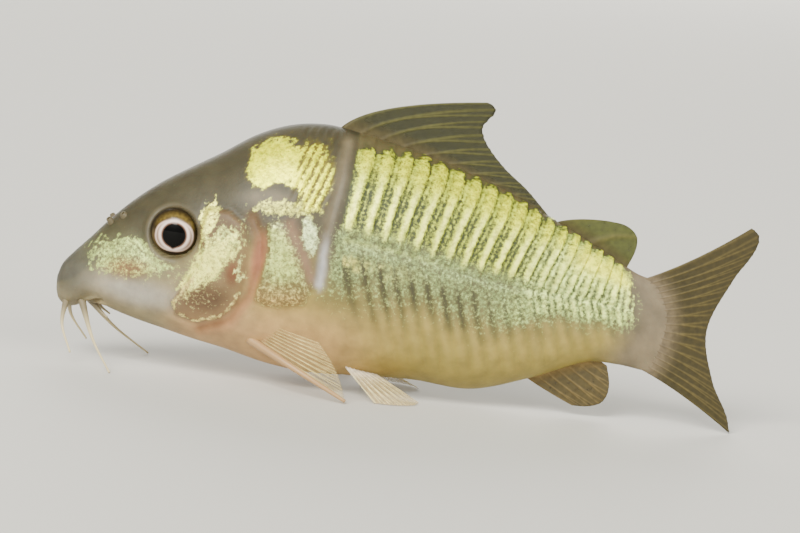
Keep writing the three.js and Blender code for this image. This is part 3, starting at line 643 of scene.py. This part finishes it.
for word, eye_side in (("left", -1), ("right", 1)):
    bpy.ops.mesh.primitive_uv_sphere_add(segments=192, ring_count=128, radius=1)
    eye = bpy.context.object
    eye.name = f"eye_ball_{word}"
    ball = np.empty(len(eye.data.vertices) * 3)
    eye.data.vertices.foreach_get("co", ball)
    ball = ball.reshape(-1, 3)[:, [0, 2, 1]]
    ball[:, 1] *= eye_side
    turn = Matrix.Rotation(eye_side * EYE_TURN, 3, "Z")
    placed = ball * [EYE_RADIUS, EYE_DEPTH, EYE_RADIUS] @ np.array(turn).T
    across, up = placed[:, 0] - PUPIL_X, placed[:, 2] - PUPIL_Z
    from_pupil = np.hypot(across, up)
    facing = placed[:, 1] * eye_side > 0
    tones = np.tile(seen_as(74, 64, 54), (len(ball), 1))
    grain = ragged(placed, 0.3, 3)
    sideways = np.abs(across) / np.maximum(from_pupil, 0.01)
    downwards = np.maximum(-up, 0) / np.maximum(from_pupil, 0.01)
    ring_edge = RING_RADIUS + RING_WIDER_SIDEWAYS * sideways**1.5 + RING_WIDER_BELOW * downwards
    crescent = ease(up, 0.3, 1.3) * bump(from_pupil - 2.05, 0.4)
    lower_rim = (1 - ease(up, -0.4, 1.0)) * bump(from_pupil - 2.3, 0.2)
    pupil = PUPIL_RADIUS + PUPIL_NOTCH * bump(across, 0.25) * (up < 0)
    for tone, strength in (
        ((138, 126, 98), lower_rim),
        ((150, 136, 92), crescent * (0.8 + 0.5 * grain)),
        ((172, 148, 130), 1 - ease(from_pupil, ring_edge, ring_edge + 0.12)),
        ((246, 232, 224), 0.9 * bump(from_pupil - PUPIL_RADIUS - 0.28, 0.2)),
        ((238, 224, 214), 0.8 * bump(from_pupil - ring_edge + 0.08, 0.09)),
        ((128, 96, 82), 0.95 * bump(from_pupil - pupil - 0.06, 0.08)),
        ((0, 0, 2), 1 - ease(from_pupil, pupil - 0.04, pupil + 0.04)),
    ):
        strength = np.where(facing, np.clip(strength, 0, 1), 0)[:, None]
        tones += (seen_as(*tone) - tones) * strength
    painted = eye.data.color_attributes.new("iris", "FLOAT_COLOR", "POINT")
    painted.data.foreach_set("color", np.column_stack([tones, np.ones(len(ball))]).ravel())
    placed += [EYE_X, eye_side * EYE_Y, EYE_Z]
    eye.data.vertices.foreach_set("co", (placed * MM).ravel())
    tidy_mesh(eye, 0.001)
    eye.data.materials.append(eye_finish)
    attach(eye, "root")
    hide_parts(f"eye_{word}")

# Nostrils
# Two small open tubes of skin on each side of the snout, leaning forward. The front one stands up
# taller, and both grow out of the head's own skin.

# How deep each tube stands in the skin, and how deep its hole goes.
SUNK = 0.5
# Name, foot on the right side, radius and height.
NOSTRILS = (
    ("front", (-32.2, 1.75, 15.2), 0.4, 0.75),
    ("rear", (-30.9, 2.35, 16.2), 0.45, 0.4),
)
nostril_finish, _, _, shader = new_finish("nostril skin", 0.45)
shader.inputs["Base Color"].default_value = (*seen_as(142, 134, 112), 1)
for place_word, foot, radius, rise in NOSTRILS:
    for word, nostril_side in (("left", -1), ("right", 1)):
        lean = Vector((-0.55, 0.45 * nostril_side, 0.75)).normalized()
        bpy.ops.mesh.primitive_cone_add(
            vertices=32,
            radius1=radius * 1.3 * MM,
            radius2=radius * 0.7 * MM,
            depth=(rise + SUNK) * MM,
            end_fill_type="NGON",
        )
        flap = bpy.context.object
        flap.name = f"nostril_{place_word}_{word}"
        bpy.ops.object.mode_set(mode="EDIT")
        bpy.ops.mesh.select_all(action="DESELECT")
        bpy.ops.object.mode_set(mode="OBJECT")
        for face in flap.data.polygons:
            face.select = face.normal.z > 0.9
        bpy.ops.object.mode_set(mode="EDIT")
        bpy.ops.mesh.inset(thickness=radius * 0.25 * MM)
        bpy.ops.mesh.extrude_region_move(TRANSFORM_OT_translate={"value": (0, 0, -SUNK * MM)})
        bpy.ops.object.mode_set(mode="OBJECT")
        root = Vector((foot[0], foot[1] * nostril_side, foot[2]))
        middle = root + lean * (rise - SUNK) / 2
        tilt = lean.to_track_quat("Z", "X").to_matrix().to_4x4()
        flap.data.transform(Matrix.Translation(middle * MM) @ tilt)
        rounding = flap.modifiers.new("soft rim", "BEVEL")
        rounding.width = 0.08 * MM
        rounding.segments = 3
        bpy.ops.object.modifier_apply(modifier=rounding.name)
        bpy.ops.object.shade_smooth()
        flap.data.materials.append(nostril_finish)
        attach(flap, "root")

# Fins
# Each fin is a thin skin over a fan of bony rays, which stand out as ridges on both faces, fork
# before the edge and are rooted in the body. The dorsal fin lies folded back, and the tail fin's
# two lobes are spread.

RAY_COLUMNS = 12
LEAST_COLUMNS = 110
FIN_ROWS = 70
RAY_WIDTH, RAY_NARROWS, RAY_FORK = 0.1, 0.03, 0.22
EDGE_THINS, EDGE_FRAYS = 0.65, 0.008
FLOOR_GAP = 0.02
FIN_SPECKLE_SCALE = 1800


def spread(path, shares):
    """Points at the given shares of the way along a smooth line through the path's points."""
    path = np.array(path, float)
    reach = np.concatenate([[0], np.cumsum(np.linalg.norm(np.diff(path, axis=0), axis=1))])
    reach /= reach[-1]
    return np.stack([smooth(reach, path[:, axis], shares) for axis in range(3)], axis=1)


def fin_finish(name, skin_tone, ray_tone, root_tone, cover):
    """Thin speckled skin, paler along the rays and duller at the root. cover is how solid it
    looks between the rays."""
    finish, nodes, links, shader = new_finish(name, 0.6, 0.3)
    ray, root = (layer_of(nodes, layer)["Fac"] for layer in ("ray", "root"))
    rayed = blended(nodes, links, ray, skin_tone, ray_tone)
    rooted = blended(nodes, links, root, rayed, root_tone)
    speckle = grain_of(nodes, links, FIN_SPECKLE_SCALE, 3)
    dust = ranged(nodes, links, speckle, 0.3, 0.7, 0.72, 1.18)
    links.new(scaled(nodes, links, rooted, dust), shader.inputs["Base Color"])
    solid = nodes.new("ShaderNodeMath")
    solid.operation = "MAXIMUM"
    links.new(ray, solid.inputs[0])
    links.new(root, solid.inputs[1])
    covered = ranged(nodes, links, solid.outputs["Value"], 0, 1, cover, min(cover + 0.4, 1))
    links.new(covered, shader.inputs["Alpha"])
    return finish


def fin(
    name, nodes_replaced, root_path, tip_path, rays, knee, thick, finish, flesh=(0.6, 2.4),
    fork_from=0.45,
):
    """A fan of rays from the root path to the tip path. knee gives each ray's bend, as shares of its
    reach in x and z or as a sideways push, thick the full thickness of ray and skin, flesh where
    the body's skin that covers the root starts and stops fading, and fork_from where along their
    length the rays start to fork."""
    columns = max((rays - 1) * RAY_COLUMNS, LEAST_COLUMNS)
    bpy.ops.mesh.primitive_grid_add(x_subdivisions=2 * columns, y_subdivisions=FIN_ROWS, size=2)
    piece = bpy.context.object
    piece.name = name
    grid = np.empty(len(piece.data.vertices) * 3)
    piece.data.vertices.foreach_get("co", grid)
    grid = grid.reshape(-1, 3)
    around = np.rint((grid[:, 0] + 1) * columns).astype(int)
    column = np.minimum(around, 2 * columns - around)
    face = np.where(around <= columns, 1.0, -1.0)
    across = column / columns
    out = (grid[:, 1] + 1) / 2

    ray_phase = across * (rays - 1)
    fork = RAY_FORK * ease(out, fork_from, fork_from + 0.55)
    from_ray = np.abs(ray_phase - np.rint(ray_phase))
    ray = bump(from_ray - fork, RAY_WIDTH - RAY_NARROWS * out)
    ray *= 1 - 0.35 * ease(out, 0.6, 1)
    stout_first = bump(ray_phase, 0.22) * (1 - 0.5 * out)
    ray = np.maximum(ray, stout_first)

    def sheet(across, out):
        """Points on the fin's middle: across from ray to ray, and out from the root to the tip."""
        root = spread(root_path, across)
        tip = spread(tip_path, across)
        reach = tip - root
        if len(knee) == 2:
            bend = root + reach * [knee[0], 0, knee[1]]
            bend[:, 1] = (root[:, 1] + tip[:, 1]) / 2
        else:
            bend = root + reach * 0.5 + np.array(knee)
        t = out[:, None]
        return (1 - t) ** 2 * root + 2 * t * (1 - t) * bend + t**2 * tip

    frayed = out * (1 - EDGE_FRAYS * (1 - ray) * ease(out, 0.8, 1))
    middle = sheet(across, frayed)
    step = 0.004
    wide = sheet(np.minimum(across + step, 1), frayed) - sheet(np.maximum(across - step, 0), frayed)
    long = sheet(across, np.minimum(frayed + step, 1)) - sheet(across, np.maximum(frayed - step, 0))
    normal = np.cross(wide, long)
    normal /= np.maximum(np.linalg.norm(normal, axis=1), 1e-9)[:, None]
    taper = 1 - EDGE_THINS * ease(out, 0.1, 1)
    closed_ends = ease(out, 0, 0.02) * (1 - ease(out, 0.97, 1))
    columns_in = np.minimum(across, 1 - across) * columns
    round_sides = np.sqrt(np.clip(columns_in / 2, 0, 1))
    of_ray, of_skin = thick
    thickness = (of_skin + (of_ray - of_skin) * ray) * taper * closed_ends * round_sides
    points = middle + normal * (face * thickness / 2)[:, None]
    points[:, 2] = np.maximum(points[:, 2], FLOOR_GAP)
    piece.data.vertices.foreach_set("co", (points * MM).ravel())
    from_root = np.linalg.norm(middle - spread(root_path, across), axis=1)
    for attribute, values in (("ray", ray), ("root", 1 - ease(from_root, *flesh))):
        painted = piece.data.attributes.new(attribute, "FLOAT", "POINT")
        painted.data.foreach_set("value", values)
    tidy_mesh(piece, 0.004)
    piece.data.materials.append(finish)
    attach(piece, "root")
    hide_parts(*nodes_replaced)


back_finish = fin_finish("dorsal skin", (92, 92, 48), (136, 134, 92), (128, 120, 92), 0.86)
fin(
    "dorsal_fin_skin", ["dorsal_fin"],
    [(-9.4, 0, 27.5), (0, 0, 25.7), (7.5, 0, 23.5), (13.0, 0, 21.2)],
    [(6.6, 0, 32.8), (7.4, 0, 32.5), (7.6, 0, 31.8), (7.0, 0, 31.0), (6.4, 0, 30.0),
     (7.0, 0, 28.4), (9.2, 0, 26.0), (11.8, 0, 24.0), (13.4, 0, 22.5), (15.0, 0, 20.9)],
    rays=11, knee=(0.12, 0.72), thick=(0.38, 0.24), finish=back_finish, flesh=(0.8, 3.6),
)
adipose_finish = fin_finish("adipose skin", (120, 124, 70), (138, 136, 92), (120, 114, 80), 0.86)
fin(
    "adipose_fin_skin", ["adipose_fin"],
    [(14.9, 0, 20.6), (19.5, 0, 18.4), (23.3, 0, 16.4)],
    [(21.2, 0, 21.6), (22.8, 0, 21.4), (23.9, 0, 20.8), (24.4, 0, 19.9), (24.3, 0, 18.6),
     (23.6, 0, 16.8)],
    rays=3, knee=(0.35, 1.1), thick=(0.5, 0.3), finish=adipose_finish, fork_from=1,
)
anal_finish = fin_finish("anal skin", (124, 114, 80), (152, 138, 102), (170, 153, 114), 0.86)
fin(
    "anal_fin_skin", ["anal_fin"],
    [(13.6, 0, 3.9), (17.5, 0, 5.7), (21.2, 0, 6.9)],
    [(19.6, 0, 1.1), (21.3, 0, 1.2), (22.6, 0, 1.7), (23.2, 0, 2.6), (23.3, 0, 4.0), (22.8, 0, 5.9)],
    rays=8, knee=(0.5, 0.58), thick=(0.36, 0.2), finish=anal_finish,
)
tail_finish = fin_finish("tail fin skin", (106, 98, 60), (138, 128, 90), (152, 141, 122), 0.9)
fin(
    "caudal_fin_skin", ["caudal_fin_upper_lobe", "caudal_fin_lower_lobe"],
    [(24.6, 0, 15.4), (26.2, 0, 13.6), (26.9, 0, 11.0), (26.5, 0, 8.3), (25.5, 0, 6.3)],
    [(36.5, 0, 22.7), (37.3, 0, 22.2), (37.5, 0, 21.2), (36.9, 0, 19.6), (35.3, 0, 16.9),
     (33.1, 0, 11.0), (34.4, 0, 5.6), (36.4, 0, 2.0), (37.0, 0, 0.05)],
    rays=17, knee=(0.45, 0.3), thick=(0.36, 0.26), finish=tail_finish, flesh=(1.4, 4.2),
)
pectoral_finish = fin_finish("pectoral skin", (220, 204, 158), (250, 240, 190), (214, 186, 150), 0.14)
# The pelvic fins' near-white root tone is a painted highlight at their base.
pelvic_finish = fin_finish("pelvic skin", (226, 208, 164), (254, 248, 212), (240, 232, 216), 0.3)
for word, fin_side in (("left", -1), ("right", 1)):
    fin(
        f"pectoral_fin_skin_{word}", [f"pectoral_fin_{word}"],
        [(-15.9, 6.0 * fin_side, 5.0), (-14.9, 6.2 * fin_side, 6.2), (-14.2, 6.4 * fin_side, 7.0)],
        [(-4.8, 10.6 * fin_side, 0.15), (-5.6, 10.9 * fin_side, 2.4),
         (-6.8, 10.6 * fin_side, 4.4), (-8.4, 10.0 * fin_side, 6.2)],
        rays=10, knee=(0, 0.9 * fin_side, 0), thick=(0.34, 0.12), finish=pectoral_finish,
    )
    fin(
        f"pelvic_fin_skin_{word}", [f"pelvic_fin_{word}"],
        [(-5.4, 5.0 * fin_side, 3.2), (-4.0, 4.2 * fin_side, 2.9), (-2.6, 3.4 * fin_side, 2.8)],
        [(-1.8, 8.2 * fin_side, 0.1), (0.4, 8.0 * fin_side, 0.1),
         (2.4, 6.6 * fin_side, 0.1), (3.0, 4.6 * fin_side, 0.15)],
        rays=8, knee=(0, 0.2 * fin_side, 0), thick=(0.32, 0.12), finish=pelvic_finish,
    )

# Pectoral spines
# The first ray of each pectoral fin is a stout, smooth rod of bone, hinged behind the gill cover.
# It runs along the fin's front edge, and the fish props itself on its tip.

ROD_STEPS = 40
SPINE_ROOT_RADIUS, SPINE_TIP_RADIUS = 0.48, 0.18
spine_finish, _, _, shader = new_finish("fin spine", 0.4)
shader.inputs["Base Color"].default_value = (*seen_as(200, 176, 142), 1)


def tapered_rod(name, path, start_radius, end_radius, swell=1):
    """A round rod along a smooth line through the path, closed at both ends. swell above 1 keeps
    the thickening near the root."""
    line = spread(path, np.linspace(0, 1, ROD_STEPS))
    line[:, 2] = np.maximum(line[:, 2], end_radius)
    curve = bpy.data.curves.new(name, "CURVE")
    curve.dimensions = "3D"
    curve.bevel_depth = MM
    curve.bevel_resolution = 5
    curve.use_fill_caps = True
    spline = curve.splines.new("POLY")
    spline.points.add(ROD_STEPS - 1)
    for i, point in enumerate(spline.points):
        to_go = 1 - i / (ROD_STEPS - 1)
        point.co = (*(line[i] * MM), 1)
        point.radius = end_radius + (start_radius - end_radius) * to_go**swell
    rod = bpy.data.objects.new(name, curve)
    bpy.context.scene.collection.objects.link(rod)
    bpy.ops.object.select_all(action="DESELECT")
    bpy.context.view_layer.objects.active = rod
    rod.select_set(True)
    bpy.ops.object.convert(target="MESH")
    tidy_mesh(rod, 0.001)
    return rod


for word, spine_side in (("left", -1), ("right", 1)):
    spine_path = [
        (-15.9, 6.0 * spine_side, 5.0), (-10.6, 9.3 * spine_side, 2.9), (-4.9, 10.6 * spine_side, 0.3),
    ]
    spine = tapered_rod(
        f"pectoral_spine_{word}", spine_path, SPINE_ROOT_RADIUS, SPINE_TIP_RADIUS
    )
    spine.data.materials.append(spine_finish)
    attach(spine, "root")

# Barbels
# Soft feelers that grow from the corners of the mouth and the chin. They are thickest and greyest
# at the root and thin and pale towards the tip, and the lower pair touches the floor.

BARBEL_ROOT_RADIUS, BARBEL_TIP_RADIUS, BARBEL_SWELL = 0.46, 0.1, 2.4
barbel_finish, nodes, links, shader = new_finish("barbel skin", 0.45)
place = nodes.new("ShaderNodeTexCoord")
parts = nodes.new("ShaderNodeSeparateXYZ")
links.new(place.outputs["Object"], parts.inputs["Vector"])
near_root = ranged(nodes, links, parts.outputs["Z"], 3.6 * MM, 5.8 * MM, 0, 1)
barbel_tint = blended(nodes, links, near_root, (226, 216, 186), (166, 158, 138))
links.new(barbel_tint, shader.inputs["Base Color"])
BARBELS = {
    "barbel_lower_left": [(-34.6, -1.6, 6.6), (-32.6, -5.6, 3.0), (-30.2, -9.0, 0.16)],
    "barbel_lower_right": [(-34.4, 1.8, 6.6), (-31.4, 5.4, 3.1), (-27.4, 7.6, 0.16)],
    "barbel_upper_left": [(-36.2, -1.2, 6.6), (-36.2, -3.8, 4.0), (-34.9, -5.2, 1.2)],
    "barbel_upper_right": [(-36.2, 1.2, 6.6), (-36.0, 3.9, 4.0), (-34.2, 5.4, 1.3)],
    "barbel_chin_left": [(-33.4, -0.9, 6.4), (-32.6, -1.2, 5.6), (-31.6, -1.5, 4.9)],
    "barbel_chin_right": [(-33.4, 0.9, 6.4), (-32.6, 1.2, 5.6), (-31.6, 1.5, 4.9)],
}
for node, path in BARBELS.items():
    feeler = tapered_rod(
        f"{node}_skin", path, BARBEL_ROOT_RADIUS, BARBEL_TIP_RADIUS, BARBEL_SWELL
    )
    feeler.data.materials.append(barbel_finish)
    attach(feeler, "root")
    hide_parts(node)

# Floor
# A plain, pale, matt floor at the level of the fish's lowest points, wide enough to fill the
# picture up to the horizon.

bpy.ops.mesh.primitive_plane_add(size=60)
floor = bpy.context.object
floor.name = "floor"
floor_finish, _, _, shader = new_finish("pale floor", 0.7)
shader.inputs["Base Color"].default_value = (0.62, 0.61, 0.58, 1)
floor.data.materials.append(floor_finish)

# Lights
# Three soft square lamps: the brightest above and in front, a weaker one from the tail end, and
# one from behind that rims the back. A pale surround fills the shadows.

WARM_WHITE = (1, 0.98, 0.89)
MID_FISH = (0, 0, 0.012)
# Name, place and width in metres, and watts.
LIGHTS = (
    ("key", (-0.7, -1.5, 1.25), 1.0, 84),
    ("fill", (1.2, -1.1, 0.7), 1.2, 26),
    ("back", (-0.1, 1.6, 0.65), 1.2, 24),
)
for light_name, stand, width, watts in LIGHTS:
    bpy.ops.object.light_add(type="AREA", location=stand)
    lamp = bpy.context.object
    lamp.name = light_name
    lamp.data.size = width
    lamp.data.energy = watts
    lamp.data.color = WARM_WHITE
    aim = Vector(MID_FISH) - Vector(stand)
    lamp.rotation_euler = aim.to_track_quat("-Z", "Y").to_euler()
surround = bpy.data.worlds.new("studio")
surround.use_nodes = True
surround.node_tree.nodes["Background"].inputs["Color"].default_value = (1, 0.98, 0.94, 1)
surround.node_tree.nodes["Background"].inputs["Strength"].default_value = 0.38
bpy.context.scene.world = surround

# Camera
# It looks at the fish's left side from a little above, and is rolled so that the fish lies in the
# picture as it does in the photograph. Sizes here are metres.

ELEVATION = math.radians(7)
ROLL = math.radians(6.8)
DISTANCE = 0.4
AIM = Vector((-0.0008, 0, 0.014))
FRAME_WIDTH = 0.08666
SENSOR = 36
bpy.ops.object.camera_add()
camera = bpy.context.object
towards_camera = Vector((0, -math.cos(ELEVATION), math.sin(ELEVATION)))
level = Matrix.Rotation(math.pi / 2 - ELEVATION, 4, "X")
camera.matrix_world = (
    Matrix.Translation(AIM + towards_camera * DISTANCE) @ level @ Matrix.Rotation(ROLL, 4, "Z")
)
camera.data.sensor_width = SENSOR
camera.data.lens = SENSOR * DISTANCE / FRAME_WIDTH
camera.data.clip_start = 0.01
bpy.context.scene.camera = camera

bpy.context.view_layer.update()
